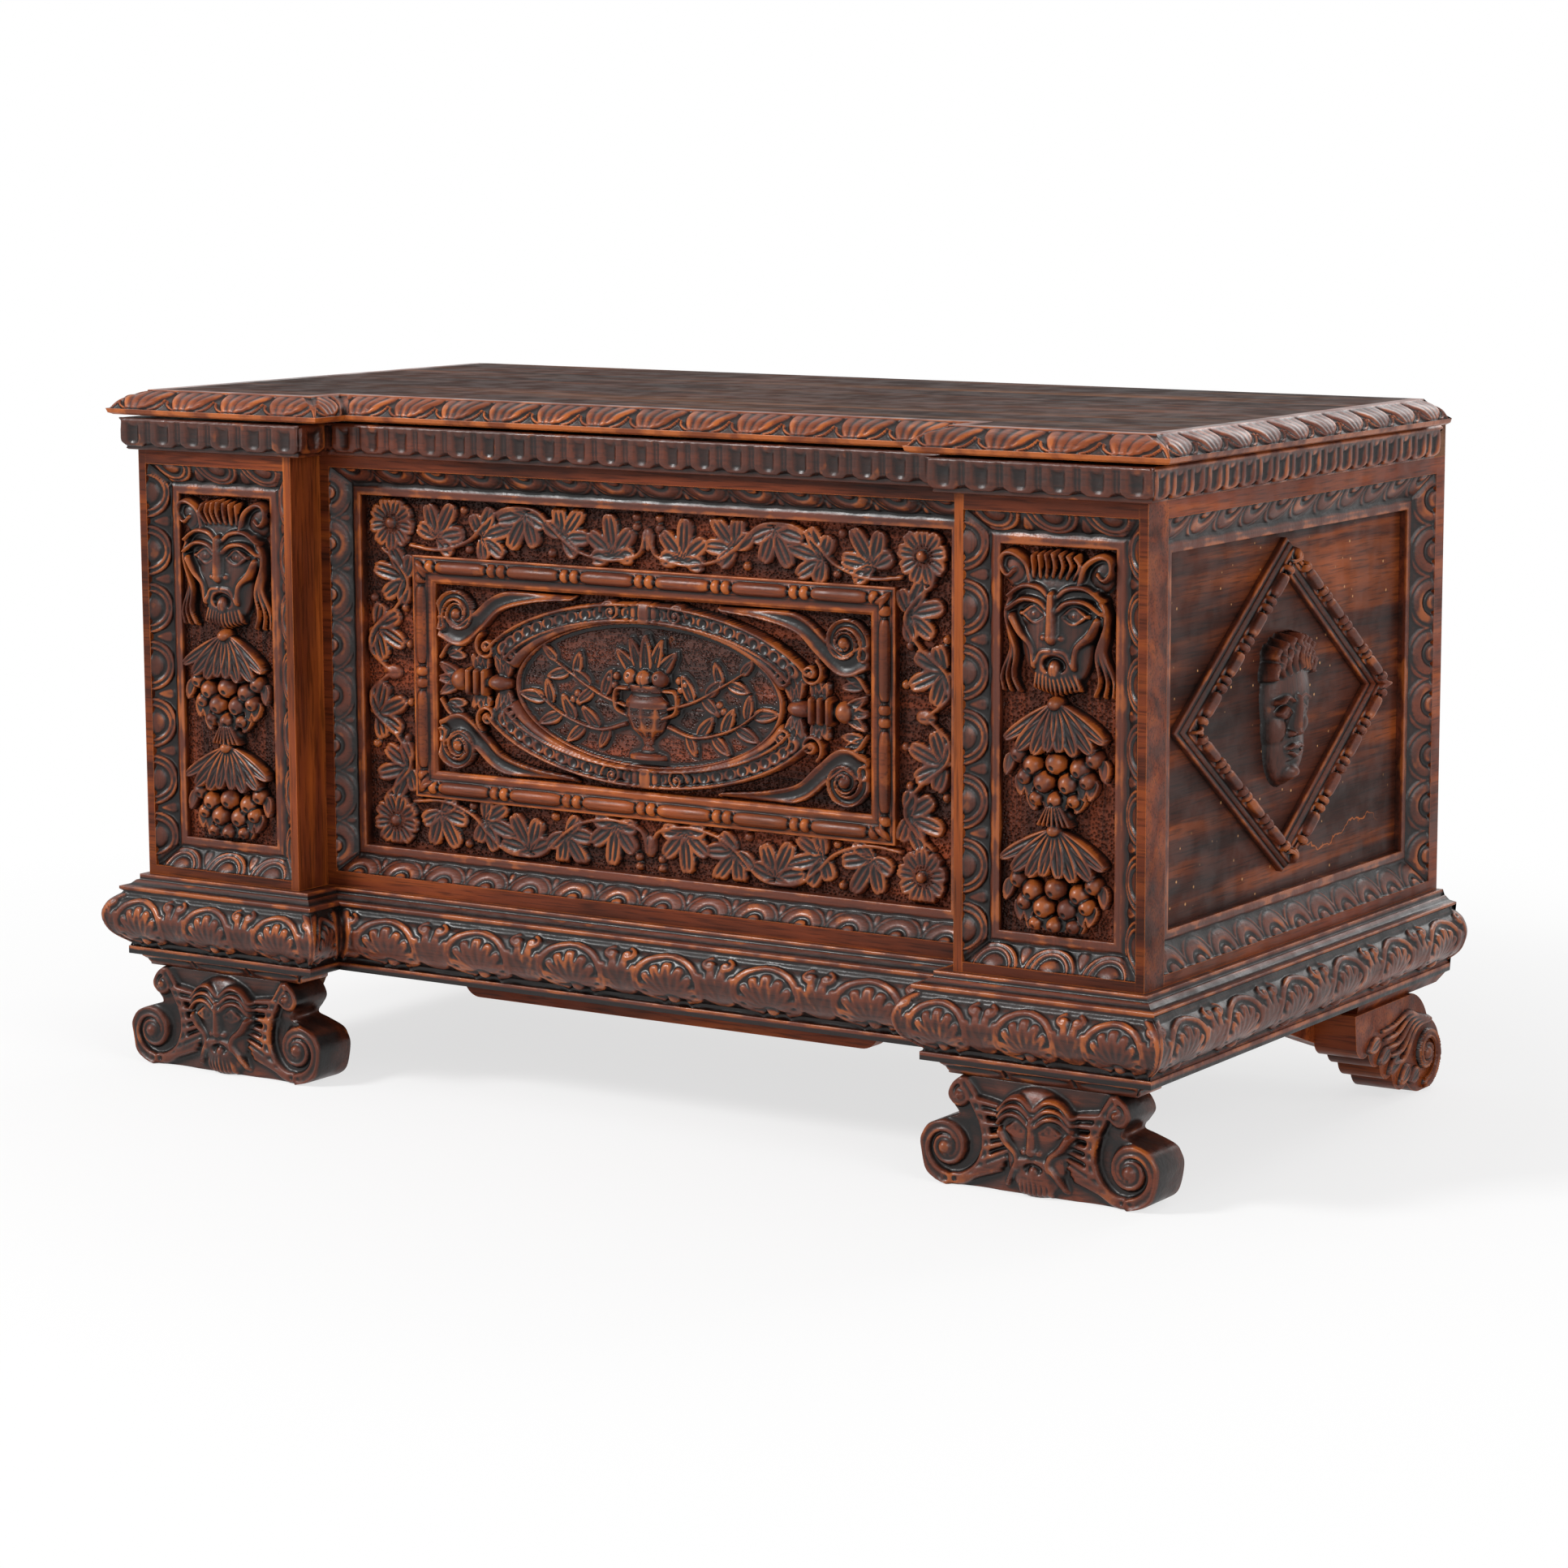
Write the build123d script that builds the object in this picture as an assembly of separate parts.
"""A carved walnut cassone: a long chest with a hinged lid, on four scroll feet.

Millimetres. X runs along the chest, -Y is the front and Z is up from the floor. Plain boards make
the box, and carved frames, panels and mouldings are planted on it. One file per piece goes to parts/.
"""

import os
from math import cos, hypot, pi, radians, sin

from build123d import *

os.makedirs("parts", exist_ok=True)

# ---- driving dimensions ---------------------------------------------------------------------------
half_length = 600.0  # end frames stand at +-this
front_plane = -299.0  # face of the two pilasters
break_depth = 47.0  # the middle of the front stands back by this
back_plane = 339.0
pilaster_wide = 204.0
foot_top = 106.0
cap_high = 12.0
base_high = 85.0
field_high = 451.0  # carved field between the base and the frieze
frieze_high = 33.5
lid_seam = 3.0  # dark line between the lid and the frieze
lid_thick = 25.0
cap_top = foot_top + cap_high
base_top = cap_top + base_high
frieze_bottom = base_top + field_high
frieze_top = frieze_bottom + frieze_high
pilaster_in = half_length - pilaster_wide  # inner side of a pilaster
break_at = pilaster_in - 10.0  # where frieze, base and lid step back
centre_plane = front_plane + break_depth
lid_bottom = frieze_top + lid_seam
lid_top = lid_bottom + lid_thick

# boards of the box
board = 18.0
box_front = front_plane + 84.0  # outside of the plain front board
box_side = half_length - 34.0  # outside of the plain end boards
ledge = 77.0  # the back rail carries the hinges this far in from the back
rail_front = back_plane - ledge
frieze_end_stop = back_plane - 33.0  # the end friezes stop here, short of the back

# mouldings
base_bulge = 40.0
base_foot = 17.0
base_fillet = 23.0
base_arris = 7.4
base_inner_front = box_front + 30.0
base_inner_side = box_side - 31.0
frieze_over_front = 15.0
frieze_over_end = 12.0
lid_over = 30.0

# lid plan
lid_half = half_length - 1.0
lid_front = front_plane + 9.0
lid_back = back_plane - 58.0
lid_break = break_at - 8.0
lid_shift = 4.0  # the old lid sits this far to the right

# pilaster frame and moulding
stile = 9.5
pilaster_top_rail = 15.0
pilaster_foot_rail = 10.0
carved_strip = 21.0
inner_fillet = 10.0
strip_depth = 15.0
pilaster_ground = 22.0
corner_stile = 38.0  # the front stile as the end shows it

# centre frame, moulding and bead frame
centre_stile = 12.0
centre_top_rail = 13.0
centre_foot_rail = 16.0
centre_strip = 18.0
centre_bead = 10.0
centre_ground = 27.0
vine_wide = 65.0  # vine border, between the moulding and the bead frame
vine_high = 58.0
bead_wide = 28.0
bead_rise = 15.0
oval_drop = 1.5  # the oval hangs this far below the middle
cartouche_wide = 104.0  # between the bead frame and the oval
cartouche_high = 26.0

# end frames
end_back_stile = 20.0
end_top_rail = 17.0
end_foot_rail = 11.0
end_strip = 25.0
end_bead = 10.0
end_ground = 24.0
lozenge_gap_wide = 27.0
lozenge_gap_high = 12.5
lozenge_band = 24.0
lozenge_forward = 14.0  # it is set off the middle of its panel
lozenge_up = 6.5

# feet
foot_centre = half_length - 106.5
foot_thick = 47.0
foot_face = front_plane - 6.0
foot_half = 128.5
big_eye = (99.5, 37.0)
small_eye = (84.0, foot_top - 19.0)
ribbon_rise = 4.0

# hinges
pin_y = lid_back + 5.0
pin_z = frieze_top + 4.9
pin_radius = 2.0
running_clearance = 0.05
knuckle_radius = 4.5
leaf_thick = 1.4
knuckle_long = 25.0
knuckle_gap = 0.3
hinge_at = half_length - 180.0


# ---- helpers --------------------------------------------------------------------------------------
def block(across, through, up):
    """A board between two coordinates in each direction."""
    ranges = (across, through, up)
    middle = [(low + high) / 2 for low, high in ranges]
    size = [high - low for low, high in ranges]
    return Pos(*middle) * Box(*size)


def outline(start, *steps):
    """A closed face through the steps; a list of two points is an arc, a longer one a smooth curve."""
    edges = []
    last = start
    for step in steps:
        if isinstance(step, list):
            edges.append(ThreePointArc(last, *step) if len(step) == 2 else Spline(last, *step))
            last = step[-1]
        else:
            edges.append(Line(last, step))
            last = step
    if last != start:
        edges.append(Line(last, start))
    return make_face(edges)


def save(name, *shapes):
    """Write one piece; several solids in it are sticks or twins of the same piece."""
    solids = [solid for shape in shapes for solid in shape.solids()]
    piece = solids[0] if len(solids) == 1 else Compound(children=solids)
    export_step(piece, f"parts/{name}.step")


def left(shapes):
    """The mirror copies for the left side."""
    return [mirror(shape, Plane.YZ) for shape in shapes]


def moulding(profile, foot, outward, plan):
    """One run of moulding: a face of (overhang, height) at foot, cut to its mitred plan."""
    along = (outward[1], -outward[0], 0)
    section = Plane(origin=(foot[0], foot[1], 0), x_dir=(outward[0], outward[1], 0), z_dir=along)
    bar = extrude(section * profile, amount=2 * half_length, both=True)
    return bar & extrude(outline(*plan), amount=2 * lid_top, both=True)


def mitred_frame(width, height, profile):
    """Four sticks mitred round an opening; the profile is a face of (inward, outward)."""
    wide = profile.bounding_box().max.X
    section = Plane(origin=(0, 0, 0), x_dir=(0, 1, 0), z_dir=(1, 0, 0))
    sticks = []
    for side in range(4):
        along, reach = (width / 2, height / 2) if side % 2 == 0 else (height / 2, width / 2)
        bar = Pos(0, -reach, 0) * extrude(section * profile, amount=along, both=True)
        inner = wide - reach
        corners = [(-along, -reach), (along, -reach), (along - wide, inner), (wide - along, inner)]
        stick = bar & extrude(outline(*corners), amount=wide + base_bulge, both=True)
        sticks.append(Rot(0, 0, 90 * side) * stick)
    return sticks


def on_front(across, depth_plane, up):
    """Relief drawn flat and facing up is stood on a plane that faces the front."""
    return Plane(origin=(across, depth_plane, up), x_dir=(1, 0, 0), z_dir=(0, -1, 0)).location


def on_end(plane_x, along, up):
    """The same for a plane that faces right."""
    return Plane(origin=(plane_x, along, up), x_dir=(0, 1, 0), z_dir=(1, 0, 0)).location


def dome(u, v, half_u, half_v, rise, turn=0.0):
    """A swelling on the ground plane, roughed out in two tiers of flat facets."""
    corners = 8
    tiers = []
    for share, up in ((1.0, 0.0), (0.8, 0.62), (0.4, 1.0)):
        turns = [2 * pi * (corner + 0.5) / corners for corner in range(corners)]
        rim = [(half_u * share * cos(angle), half_v * share * sin(angle)) for angle in turns]
        tiers.append(Pos(0, 0, rise * up) * outline(*rim))
    return Pos(u, v, 0) * Rot(0, 0, turn) * loft(tiers, ruled=True)


def leaf(u, v, length, width, thick, turn=0.0):
    """A pointed leaf that grows from (u, v) towards turn degrees."""
    sides = [(length * 0.35, width / 2), (length, 0)]
    back = [(length * 0.35, -width / 2), (0, 0)]
    blade = extrude(outline((0, 0), sides, back), amount=thick)
    return Pos(u, v, 0) * Rot(0, 0, turn) * blade


def quarter_arcs(eye, radius, ratio, quarters, start, sense):
    """A scroll line of tangent quarter circles, each smaller by ratio, that closes on the eye."""
    centre = Vector(0, 0)
    arcs = []
    size = radius
    heading = radians(start)
    for _ in range(8 * quarters):
        marks = [heading + sense * step * pi / 4 for step in (0, 1, 2)]
        arcs.append([centre + Vector(cos(mark), sin(mark)) * size for mark in marks])
        heading = marks[2]
        centre += Vector(cos(heading), sin(heading)) * size * (1 - ratio)
        size *= ratio
    return [[point - centre + Vector(*eye) for point in arc] for arc in arcs[:quarters]]


def volute_band(eye, radius, quarters, start, sense, rise, ratio=0.76, band=0.3):
    """A raised band between two such lines, tightening on a round eye."""
    outer = quarter_arcs(eye, radius, ratio, quarters, start, sense)
    inner = quarter_arcs(eye, radius * (1 - band), ratio, quarters, start, sense)
    edges = [ThreePointArc(*arc) for arc in outer + inner]
    edges.append(Line(outer[0][0], inner[0][0]))
    edges.append(Line(outer[-1][2], inner[-1][2]))
    button = Pos(*eye, 0) * Cylinder(radius * 0.2, rise, align=(Align.CENTER, Align.CENTER, Align.MIN))
    return extrude(make_face(edges), amount=rise) + button


# ---- the plain box --------------------------------------------------------------------------------
inside = box_side - board
save("front_board", block((-inside, inside), (box_front, box_front + board), (base_top, frieze_top)))
back_joints = [base_top + field_high * course / 3 for course in range(4)]
courses = zip(back_joints, back_joints[1:])
back_skin = (back_plane - board, back_plane)
save("back_boards", *[block((-inside, inside), back_skin, course) for course in courses])
floor_near = box_front + board
floor_wide = back_plane - board - floor_near
floor_joints = [floor_near + floor_wide * strip / 3 for strip in range(4)]
strips = zip(floor_joints, floor_joints[1:])
save("bottom_boards", *[block((-inside, inside), strip, (base_top, base_top + board)) for strip in strips])

end_board = block((inside, box_side), (box_front, back_plane), (base_top, frieze_top))
end_board -= block((inside, box_side), (frieze_end_stop, back_plane), (frieze_bottom, frieze_top))
save("end_board_right", end_board)
save("end_board_left", *left([end_board]))

pilaster_back = front_plane + pilaster_ground + 10.0
corner_post = block((pilaster_in + stile, box_side), (pilaster_back, box_front), (base_top, frieze_bottom))
save("corner_posts", corner_post, *left([corner_post]))

# ---- base moulding: a torus under a small fillet and cove -----------------------------------------
base_depth = 90.0
torus_low = cap_top + 8.0
torus_high = base_top - 16.5
base_profile = outline(
    (-base_depth - base_bulge, cap_top),
    (base_foot, cap_top),
    (base_foot, torus_low),
    (15.0, torus_low),
    [(base_bulge - 0.06, torus_low + 0.56 * (torus_high - torus_low)), (base_fillet, torus_high)],
    (base_fillet, base_top - 12.0),
    [(15.0, base_top - 10.5), (10.0, base_top - 6.0)],
    (base_arris, base_top - 6.0),
    (base_arris, base_top),
    (-base_depth - base_bulge, base_top),
)
reach = 60.0
corner = (half_length, front_plane)


def front_plans(step_x, corner_x, front_y, inner_y, inner_x, back_y):
    """Mitred plans of a front that breaks forward at both ends, right half and middle."""
    step_back = front_y + break_depth
    turn_in = corner_x - inner_x
    block_plan = [
        (corner_x + reach, front_y - reach),
        (step_x - reach, front_y - reach),
        (step_x, front_y),
        (step_x, inner_y),
        (inner_x, inner_y),
        (inner_x, front_y + turn_in),
    ]
    return_plan = [
        (step_x, front_y),
        (step_x - reach, front_y - reach),
        (step_x - reach, step_back - reach),
        (step_x, step_back),
    ]
    middle_plan = [
        (-step_x, inner_y),
        (-step_x, step_back),
        (reach - step_x, step_back - reach),
        (step_x - reach, step_back - reach),
        (step_x, step_back),
        (step_x, inner_y),
    ]
    end_plan = [
        (inner_x, front_y + turn_in),
        (corner_x + reach, front_y - reach),
        (corner_x + reach, back_y),
        (inner_x, back_y),
    ]
    return block_plan, return_plan, middle_plan, end_plan


base_plans = front_plans(break_at, half_length, front_plane, base_inner_front, base_inner_side, back_plane)
base_block = moulding(base_profile, corner, (0, -1), base_plans[0])
base_return = moulding(base_profile, (break_at, 0), (-1, 0), base_plans[1])
base_middle = moulding(base_profile, (0, centre_plane), (0, -1), base_plans[2])
save("base_front", base_block, base_return, base_middle, *left([base_block, base_return]))
base_end = moulding(base_profile, corner, (1, 0), base_plans[3])
save("base_right", base_end)
save("base_left", *left([base_end]))
base_back_skin = (back_plane - 39.0, back_plane)
save("base_back", block((-base_inner_side, base_inner_side), base_back_skin, (cap_top, base_top)))


# ---- frieze ---------------------------------------------------------------------------------------
def frieze_face(over):
    """Square top, softly rounded towards the bottom arris."""
    return outline(
        (-base_depth - base_bulge, frieze_bottom),
        (over - 8.0, frieze_bottom),
        [(over - 2.0, frieze_bottom + 5.0), (over, frieze_bottom + 12.0)],
        (over, frieze_top - 2.0),
        (over - 2.0, frieze_top),
        (-base_depth - base_bulge, frieze_top),
    )


frieze_plans = front_plans(break_at, half_length, front_plane, box_front, box_side, frieze_end_stop)
front_face = frieze_face(frieze_over_front)
frieze_block = moulding(front_face, corner, (0, -1), frieze_plans[0])
frieze_return = moulding(front_face, (break_at, 0), (-1, 0), frieze_plans[1])
frieze_middle = moulding(front_face, (0, centre_plane), (0, -1), frieze_plans[2])
save("frieze_front", frieze_block, frieze_return, frieze_middle, *left([frieze_block, frieze_return]))
frieze_end = moulding(frieze_face(frieze_over_end), corner, (1, 0), frieze_plans[3])
save("frieze_right", frieze_end)
save("frieze_left", *left([frieze_end]))

back_rail = block((-half_length, half_length), (frieze_end_stop, back_plane), (frieze_bottom, frieze_top))
back_rail += block((-inside, inside), (rail_front, frieze_end_stop), (frieze_bottom, frieze_top))

# ---- lid ------------------------------------------------------------------------------------------
edge_seat = 14.0  # the carved edge is rebated this far under the planks
edge_face = outline(
    (-edge_seat, lid_bottom),
    (24.0, lid_bottom),
    (28.5, lid_bottom + 2.0),
    (lid_over, lid_bottom + 6.5),
    [(20.0, lid_bottom + 18.0), (0.0, lid_top)],
    (-edge_seat, lid_top),
)
lid_inner_front = lid_front + edge_seat
edge_block_plan = [
    (lid_half + reach, lid_front - reach),
    (lid_break - reach, lid_front - reach),
    (lid_break + edge_seat, lid_inner_front),
    (lid_half - edge_seat, lid_inner_front),
]
lid_step = lid_front + break_depth
edge_return_plan = [
    (lid_break + edge_seat, lid_inner_front),
    (lid_break - reach, lid_front - reach),
    (lid_break - reach, lid_step - reach),
    (lid_break + edge_seat, lid_step + edge_seat),
]
edge_middle_plan = [
    (-lid_break - edge_seat, lid_step + edge_seat),
    (reach - lid_break, lid_step - reach),
    (lid_break - reach, lid_step - reach),
    (lid_break + edge_seat, lid_step + edge_seat),
]
edge_end_plan = [
    (lid_half - edge_seat, lid_inner_front),
    (lid_half + reach, lid_front - reach),
    (lid_half + reach, lid_back),
    (lid_half - edge_seat, lid_back),
]
edge_corner = (lid_half, lid_front)
edge_block = moulding(edge_face, edge_corner, (0, -1), edge_block_plan)
edge_return = moulding(edge_face, (lid_break, 0), (-1, 0), edge_return_plan)
edge_middle = moulding(edge_face, (0, lid_step), (0, -1), edge_middle_plan)
edge_end = moulding(edge_face, edge_corner, (1, 0), edge_end_plan)
slide = Pos(lid_shift, 0, 0)
front_edges = [edge_block, edge_return, edge_middle, *left([edge_block, edge_return])]
save("lid_edge_front", *[slide * run for run in front_edges])
save("lid_edge_right", slide * edge_end)
save("lid_edge_left", *[slide * run for run in left([edge_end])])

plank_wide = 183.0
plank_joints = [lid_step + edge_seat, lid_back - 2 * plank_wide, lid_back - plank_wide, lid_back]
plank_half = lid_half - edge_seat
strips = zip(plank_joints, plank_joints[1:])
planks = [block((-plank_half, plank_half), strip, (lid_bottom, lid_top)) for strip in strips]
tongue = block((lid_break + edge_seat, plank_half), (lid_inner_front, plank_joints[0]), (lid_bottom, lid_top))
planks[0] = planks[0] + tongue + mirror(tongue, Plane.YZ)

# ---- hinges ---------------------------------------------------------------------------------------
knuckles = 3
hinge_half = (knuckles * knuckle_long + (knuckles - 1) * knuckle_gap) / 2
pin_turn = Rot(0, 90, 0)


def barrel(low, high, radius):
    """A round bar along the hinge line."""
    return Pos((low + high) / 2, pin_y, pin_z) * pin_turn * Cylinder(radius, high - low)


rail_leaf_top = frieze_top + leaf_thick
lid_leaf_bottom = lid_bottom - leaf_thick
leaf_edge = lid_back
rail_leaves, lid_leaves, pins = [], [], []
for centre in (-hinge_at, hinge_at):
    low = centre - hinge_half
    high = centre + hinge_half
    rail_leaf = block((low, high), (rail_front + 2.0, leaf_edge), (frieze_top, rail_leaf_top))
    lid_leaf = block((low, high), (rail_front + 2.0, leaf_edge), (lid_leaf_bottom, lid_bottom))
    for number in range(knuckles):
        start = low + number * (knuckle_long + knuckle_gap)
        stop = start + knuckle_long
        tube = barrel(start, stop, knuckle_radius)
        if number % 2 == 0:
            rail_leaf += tube + block((start, stop), (leaf_edge, pin_y), (frieze_top, rail_leaf_top))
            rail_leaf -= barrel(start, stop, pin_radius)
        else:
            lid_leaf += tube + block((start, stop), (leaf_edge, pin_y - 2.5), (lid_leaf_bottom, lid_bottom))
            lid_leaf -= barrel(start, stop, pin_radius + running_clearance)
    pins.append(barrel(low, high, pin_radius))
    rail_leaves.append(rail_leaf)
    lid_leaves.append(lid_leaf)
save("hinge_rail_leaves", *rail_leaves)
save("hinge_lid_leaves", *lid_leaves)
save("hinge_pins", *pins)
save("back_rail", back_rail)
save("lid_boards", *[slide * plank for plank in planks])
batten_out = hinge_at - 40.0
batten_wide = 60.0
batten_run = (box_front + 45.0, rail_front - 12.0)
batten = block((batten_out - batten_wide, batten_out), batten_run, (lid_bottom - 20.0, lid_bottom))
save("lid_battens", *[slide * bar for bar in (batten, mirror(batten, Plane.YZ))])


# ---- pilasters ------------------------------------------------------------------------------------
def sunk_profile(strip, drop, fillet, ground):
    """A sloping carved strip, a flat inner fillet and the wall down to the ground."""
    return outline((0, -ground), (0, 0), (strip, -drop), (strip + fillet, -drop), (strip + fillet, -ground))


pilaster_mid = (pilaster_in + half_length) / 2
opening_low = base_top + pilaster_foot_rail
opening_high = frieze_bottom - pilaster_top_rail
opening_wide = half_length - pilaster_in - 2 * stile
panel_mid_z = (opening_low + opening_high) / 2
ground_y = front_plane + pilaster_ground
full_height = (base_top, frieze_bottom)
corner_skin = (front_plane, front_plane + corner_stile)
corner_board = block((half_length - stile, half_length), corner_skin, full_height)
slat = (front_plane, pilaster_back)
across = (pilaster_in + stile, half_length - stile)
top_rail = block(across, slat, (opening_high, frieze_bottom))
foot_rail = block(across, slat, (base_top, opening_low))
pilaster_frame = [corner_board, top_rail, foot_rail]
break_return = block((pilaster_in, pilaster_in + stile), (front_plane, box_front), full_height)
pilaster_panel = block(across, (ground_y, pilaster_back), (opening_low, opening_high))
strips = mitred_frame(
    opening_wide,
    opening_high - opening_low,
    sunk_profile(carved_strip, strip_depth, inner_fillet, pilaster_ground),
)
pilaster_strips = [on_front(pilaster_mid, front_plane, panel_mid_z) * stick for stick in strips]


def satyr():
    """Mask with pointed ears, heavy brows, long nose, side locks, open mouth and beard."""
    mask = dome(0, 4, 44, 62, 17) + dome(0, 44, 30, 18, 21)
    mask += dome(0, -2, 9, 27, 27) + dome(0, -54, 26, 18, 14)
    for side in (-1, 1):
        mask += leaf(side * 28, 34, 38, 18, 12, 35 if side > 0 else 145)
        mask += dome(side * 18, 24, 18, 8, 23, side * 12)
        mask += dome(side * 21, -12, 14, 14, 21)
        mask += dome(side * 40, -16, 13, 38, 13, side * 8)
    mask -= Pos(0, -36, 20) * Cylinder(8, 16)
    return mask


def fruit_cluster():
    """Broad leaves that fan from a stem over three round fruits."""
    cluster = dome(0, 0, 20, 20, 12)
    for turn in (-90, -35, -145, 40, 140):
        cluster += leaf(0, 2, 50, 30, 9, turn)
    for u, v in ((-17, -8), (17, -8), (0, 12)):
        cluster += dome(u, v, 15, 15, 21)
    return cluster


drop_share = field_high / 451.0  # the mask and the drop grow with the field
mask_z, upper_z, knop_z, lower_z = [opening_low + up * drop_share for up in (324.0, 211.0, 149.0, 89.0)]
satyr_mask = on_front(pilaster_mid, ground_y, mask_z) * scale(satyr(), by=drop_share)
cluster = scale(fruit_cluster(), by=drop_share)
knop = dome(0, 0, 14, 14, 16)
fruit_drop = on_front(pilaster_mid, ground_y, upper_z) * cluster
fruit_drop += on_front(pilaster_mid, ground_y, knop_z) * knop
fruit_drop += on_front(pilaster_mid, ground_y, lower_z) * cluster
for name, pieces in (
    ("pilaster_frame", pilaster_frame),
    ("pilaster_moulding", pilaster_strips),
    ("pilaster_panel", [pilaster_panel]),
    ("satyr_mask", [satyr_mask]),
    ("fruit_drop", [fruit_drop]),
):
    save(f"{name}_right", *pieces)
    save(f"{name}_left", *left(pieces))
save("break_returns", break_return, *left([break_return]))

# ---- middle of the front --------------------------------------------------------------------------
centre_low = base_top + centre_foot_rail
centre_high = frieze_bottom - centre_top_rail
centre_half = pilaster_in - centre_stile
frame_depth = (centre_plane, box_front)
side_stick = block((centre_half, pilaster_in), frame_depth, (base_top, frieze_bottom))
head_stick = block((-centre_half, centre_half), frame_depth, (centre_high, frieze_bottom))
foot_stick = block((-centre_half, centre_half), frame_depth, (base_top, centre_low))
save("centre_frame", side_stick, *left([side_stick]), head_stick, foot_stick)
centre_mid_z = (centre_low + centre_high) / 2
centre_half_high = (centre_high - centre_low) / 2
centre_sticks = mitred_frame(
    2 * centre_half,
    2 * centre_half_high,
    sunk_profile(centre_strip, strip_depth, centre_bead, centre_ground),
)
save("centre_moulding", *[on_front(0, centre_plane, centre_mid_z) * stick for stick in centre_sticks])
centre_ground_y = centre_plane + centre_ground
centre_panel = block((-centre_half, centre_half), (centre_ground_y, box_front), (centre_low, centre_high))
rosette = dome(0, 0, 27, 27, 6)
rosette_across = centre_half - 64.0
rosette_up = centre_half_high - 56.0
for side in (-1, 1):
    for above in (-1, 1):
        spot = (side * rosette_across, centre_ground_y, centre_mid_z + above * rosette_up)
        centre_panel += on_front(*spot) * rosette
save("centre_panel", centre_panel)

oval_z = centre_mid_z - oval_drop
bead_half_wide = centre_half - centre_strip - centre_bead - vine_wide
bead_half_high = centre_half_high - centre_strip - centre_bead - vine_high
oval_half_wide = bead_half_wide - bead_wide - cartouche_wide
oval_half_high = bead_half_high - bead_wide - cartouche_high

bead_profile = outline(
    (0, 0),
    (0, 9),
    (4, 9),
    (4, 11),
    [(11, bead_rise), (18, 11)],
    (18, 10),
    (25, 10),
    (bead_wide, 7),
    (bead_wide, 0),
)
bead_sticks = mitred_frame(2 * bead_half_wide, 2 * bead_half_high, bead_profile)
save("bead_frame", *[on_front(0, centre_ground_y, oval_z) * stick for stick in bead_sticks])


def oval_ring(half_wide, half_high, band, rise):
    """A flat oval strap."""
    ring = Ellipse(half_wide, half_high) - Ellipse(half_wide - band, half_high - band)
    return extrude(ring, amount=rise)


cartouche = oval_ring(oval_half_wide + 22, oval_half_high + 16, 13, 15)
cartouche += oval_ring(oval_half_wide + 52, oval_half_high + 24, 15, 10)
cartouche += oval_ring(oval_half_wide + 40, oval_half_high + 22, 19, 6)
for turn in (0, 180):
    tie = dome(0, oval_half_high + 15, 30, 10, 19)
    tie += dome(oval_half_wide + 34, 0, 22, 24, 19)
    tie += dome(oval_half_wide + 66, 0, 30, 9, 12)
    cartouche += Rot(0, 0, turn) * tie
scroll_eye = (bead_half_wide - bead_wide - 27, bead_half_high - bead_wide - 25)
for side, top in ((1, 1), (-1, 1), (1, -1), (-1, -1)):
    scroll = volute_band(scroll_eye, 20, 4, -90, 1, 13)
    if top < 0:
        scroll = mirror(scroll, Plane.XZ)
    if side < 0:
        scroll = mirror(scroll, Plane.YZ)
    cartouche += scroll
save("cartouche", on_front(0, centre_ground_y, oval_z) * cartouche)

medallion = extrude(Ellipse(oval_half_wide + 6, oval_half_high + 2), amount=3)
urn = Pos(0, -50, 3) * (dome(0, 0, 26, 6, 8) + dome(0, 12, 8, 14, 8) + dome(0, 40, 34, 26, 12))
for turn in (35, 65, 90, 115, 145):
    urn += Pos(0, 0, 3) * leaf(0, 6, 44, 18, 6, turn)
for side in (-1, 1):
    urn += Pos(0, 0, 3) * leaf(side * 30, -12, 84, 30, 6, 8 if side > 0 else 172)
    urn += Pos(0, 0, 3) * leaf(side * 30, -28, 70, 24, 6, -18 if side > 0 else 198)
trim = extrude(Ellipse(oval_half_wide + 6, oval_half_high + 2), amount=40)
medallion = (medallion + urn) & trim
save("medallion", on_front(0, centre_ground_y, oval_z) * medallion)

# ---- ends -----------------------------------------------------------------------------------------
end_near = front_plane + corner_stile
end_far = back_plane - end_back_stile
end_low = base_top + end_foot_rail
end_high = frieze_bottom - end_top_rail
end_thick = (box_side, half_length)
back_stick = block(end_thick, (end_far, back_plane), (base_top, frieze_bottom))
end_head_stick = block(end_thick, (end_near, end_far), (end_high, frieze_bottom))
end_foot_stick = block(end_thick, (end_near, end_far), (base_top, end_low))
end_frame = [back_stick, end_head_stick, end_foot_stick]
end_sticks = mitred_frame(
    end_far - end_near, end_high - end_low, sunk_profile(end_strip, strip_depth, end_bead, end_ground)
)
end_mid_y = (end_near + end_far) / 2
end_mid_z = (end_low + end_high) / 2
end_moulding = [on_end(half_length, end_mid_y, end_mid_z) * stick for stick in end_sticks]
end_ground_x = half_length - end_ground
end_panel = block((box_side, end_ground_x), (end_near, end_far), (end_low, end_high))

lozenge_y = end_mid_y - lozenge_forward
lozenge_z = end_mid_z + lozenge_up
lozenge_half_wide = (end_far - end_near) / 2 - end_strip - end_bead - lozenge_gap_wide
lozenge_half_high = (end_high - end_low) / 2 - end_strip - end_bead - lozenge_gap_high
lozenge_normal = lozenge_half_wide * lozenge_half_high / hypot(lozenge_half_wide, lozenge_half_high)


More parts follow.
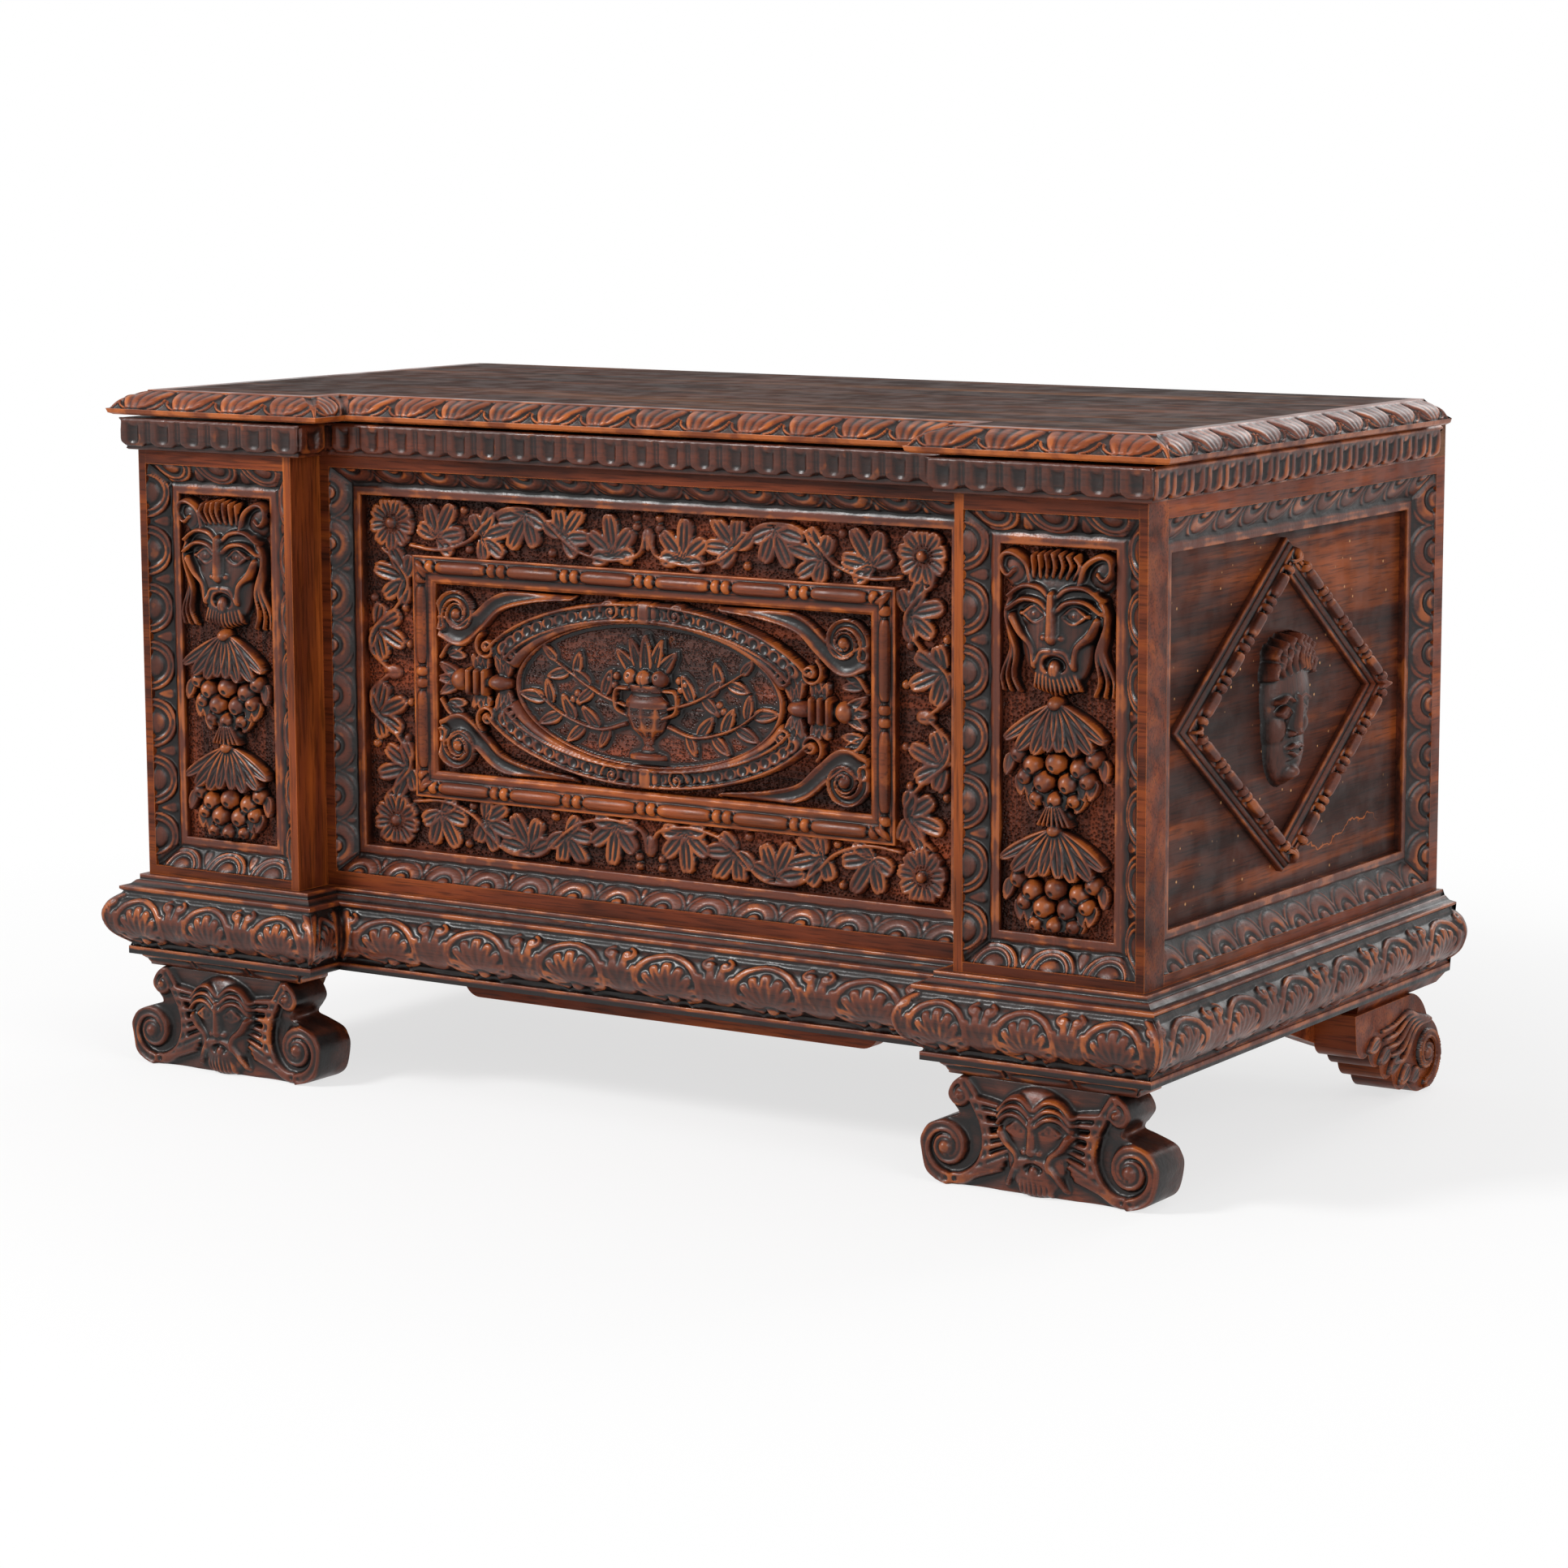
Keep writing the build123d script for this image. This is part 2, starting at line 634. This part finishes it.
def lozenge_stick(outer, inner, rise):
    """One side of the lozenge between two insets from its outer edge."""
    far = 1 - outer / lozenge_normal
    near = 1 - inner / lozenge_normal
    corners = [
        (lozenge_half_wide * far, 0),
        (0, lozenge_half_high * far),
        (0, lozenge_half_high * near),
        (lozenge_half_wide * near, 0),
    ]
    return extrude(outline(*corners), amount=rise)


side_of_lozenge = lozenge_stick(0, lozenge_band, 8) + lozenge_stick(4, 14, 13)
side_of_lozenge += lozenge_stick(17, lozenge_band - 2, 10)
lozenge = [side_of_lozenge, mirror(side_of_lozenge, Plane.YZ)]
lozenge += [mirror(side, Plane.XZ) for side in lozenge]
lozenge_frame = [on_end(end_ground_x, lozenge_y, lozenge_z) * side for side in lozenge]

head = dome(0, 12, 56, 60, 20) + dome(0, -64, 24, 18, 15) + dome(0, -2, 38, 54, 34)
head += dome(0, -6, 8, 18, 40) + dome(0, 34, 46, 26, 33)
end_head = on_end(end_ground_x, lozenge_y + 2, lozenge_z - 5) * head
for name, pieces in (
    ("end_frame", end_frame),
    ("end_moulding", end_moulding),
    ("end_panel", [end_panel]),
    ("lozenge_frame", lozenge_frame),
    ("end_head", [end_head]),
):
    save(f"{name}_right", *pieces)
    save(f"{name}_left", *left(pieces))


# ---- feet -----------------------------------------------------------------------------------------
def spiral_edge(eye, points):
    """Points round an eye, given as (heading in degrees, radius)."""
    return [(eye[0] + r * cos(radians(a)), eye[1] + r * sin(radians(a))) for a, r in points]


big_round = spiral_edge(big_eye, ((-90, 37.0), (-45, 33.5), (0, 29.0), (45, 27.0), (90, 26.0)))
small_round = spiral_edge(small_eye, ((-50, 13.0), (0, 14.0), (50, 14.5)))
right_half = outline(
    (0, 0),
    big_round[0],
    big_round[1:3],
    big_round[3:5],
    [(86.0, 0.63 * foot_top), small_round[0]],
    small_round[1:3],
    (small_eye[0], foot_top),
    (0, foot_top),
)
foot_face_shape = right_half + mirror(right_half, Plane.YZ)
front_foot = extrude(foot_face_shape, amount=-foot_thick)
for sense in (1, -1):
    big = volute_band((sense * big_eye[0], big_eye[1]), 36, 6, -90, sense, ribbon_rise)
    small = volute_band((sense * small_eye[0], small_eye[1]), 14, 4, 90, -sense, ribbon_rise)
    front_foot += big & extrude(foot_face_shape, amount=ribbon_rise)
    front_foot += small & extrude(foot_face_shape, amount=ribbon_rise)
mask_mid = foot_top - 56.0
grotesque = dome(0, mask_mid, 38, 54, 14) + dome(0, mask_mid - 4, 9, 20, 20)
grotesque += dome(0, mask_mid - 30, 20, 12, 17)
for side in (-1, 1):
    grotesque += dome(side * 18, mask_mid + 30, 18, 8, 19, side * -14)
    grotesque += dome(side * 20, mask_mid - 8, 12, 12, 17)
grotesque = grotesque & Pos(0, foot_top / 2, 0) * Box(2 * foot_half, foot_top, 4 * foot_thick)
front_foot += grotesque
front_foot = on_front(foot_centre, foot_face, 0) * front_foot
save("foot_front_right", front_foot)
save("foot_front_left", *left([front_foot]))

back_face = half_length + 15.0
back_eye = (back_plane - 47.0, 39.0)
sole_heading = -70
sole_reach = back_eye[1] / sin(radians(-sole_heading))
back_turns = ((sole_heading, sole_reach), (-35, 39.0), (0, 38.0), (40, 36.0), (80, 36.0))
back_round = spiral_edge(back_eye, back_turns)
back_toe = back_plane - 213.0  # the stepped front end of the back foot
back_shape = outline(
    back_round[0],
    back_round[1:3],
    back_round[3:5],
    [(back_eye[0] - 2, foot_top - 18), (back_eye[0] - 30, foot_top)],
    (back_toe, foot_top),
    (back_toe + 4, 70.0),
    [(back_toe + 16, 60.0), (back_toe + 32, 62.0)],
    [(back_toe + 38, 50.0), (back_toe + 58, 47.0)],
    [(back_toe + 64, 33.0), (back_toe + 88, 31.0)],
    [(back_toe + 98, 14.0), (back_toe + 124, 14.0)],
    [(back_toe + 138, 4.0), (back_toe + 154, 0)],
    back_round[0],
)
back_foot = extrude(back_shape, amount=-foot_thick)
back_foot += volute_band(back_eye, 33, 6, -90, 1, ribbon_rise) & extrude(back_shape, amount=ribbon_rise)
back_foot = on_end(back_face - ribbon_rise, 0, 0) * back_foot
save("foot_back_right", back_foot)
save("foot_back_left", *left([back_foot]))

glue_back = foot_face + foot_thick
bracket_out = back_face - ribbon_rise - foot_thick
bracket_back = back_plane - 9.0
bracket_low = cap_top - 94.0
bracket_sweep = ((290, 80), (235, 61), (170, 39), (105, 18), (50, 3), (18, 0))
bracket_shape = outline(
    (bracket_back, cap_top),
    (bracket_back - 342, cap_top),
    [(bracket_back - away, bracket_low + up) for away, up in bracket_sweep],
    (bracket_back, bracket_low),
)
bracket = on_end(bracket_out, 0, 0) * extrude(bracket_shape, amount=-20)
save("back_brackets", bracket, *left([bracket]))


def cap_block(foot_plan, top_plan):
    """An ovolo block that widens upwards; a plan is (x range, y range)."""
    levels = []
    for (across, through), height in ((foot_plan, foot_top), (top_plan, cap_top)):
        middle = Pos((across[0] + across[1]) / 2, (through[0] + through[1]) / 2, height)
        levels.append(middle * Rectangle(across[1] - across[0], through[1] - through[0]))
    return loft(levels, ruled=True)


front_foot_plan = ((foot_centre - 91.5, foot_centre + 96.5), (foot_face + 2, glue_back))
front_top_plan = ((foot_centre - 108.5, foot_centre + 112.5), (foot_face - 8, glue_back))
front_cap = cap_block(front_foot_plan, front_top_plan)
save("front_foot_caps", front_cap, *left([front_cap]))
back_foot_plan = ((bracket_out, half_length + 6), (back_toe + 14, bracket_back))
back_top_plan = ((bracket_out, half_length + 14), (back_toe + 2, back_plane))
back_cap = cap_block(back_foot_plan, back_top_plan)
save("back_foot_caps", back_cap, *left([back_cap]))

batten_corner = 20.0
under_half = break_at - 131.0
under_skin = (base_inner_front - 20.0, base_inner_front)
under_batten = block((-under_half, under_half), under_skin, (cap_top - 26.0, cap_top))
lower_ends = under_batten.edges().filter_by(Axis.Y).sort_by(Axis.Z)[:2]
save("under_batten", fillet(lower_ends, batten_corner))

glue_side = 30.0
glue_blocks = []
for centre in (foot_centre - 63.5, foot_centre + 63.5):
    section = outline((glue_back, cap_top), (glue_back + glue_side, cap_top), (glue_back, cap_top - 40.0))
    wedge = extrude(Plane.YZ * section, amount=20, both=True)
    glue_blocks.append(Pos(centre, 0, 0) * wedge)
save("glue_blocks", *glue_blocks, *left(glue_blocks))
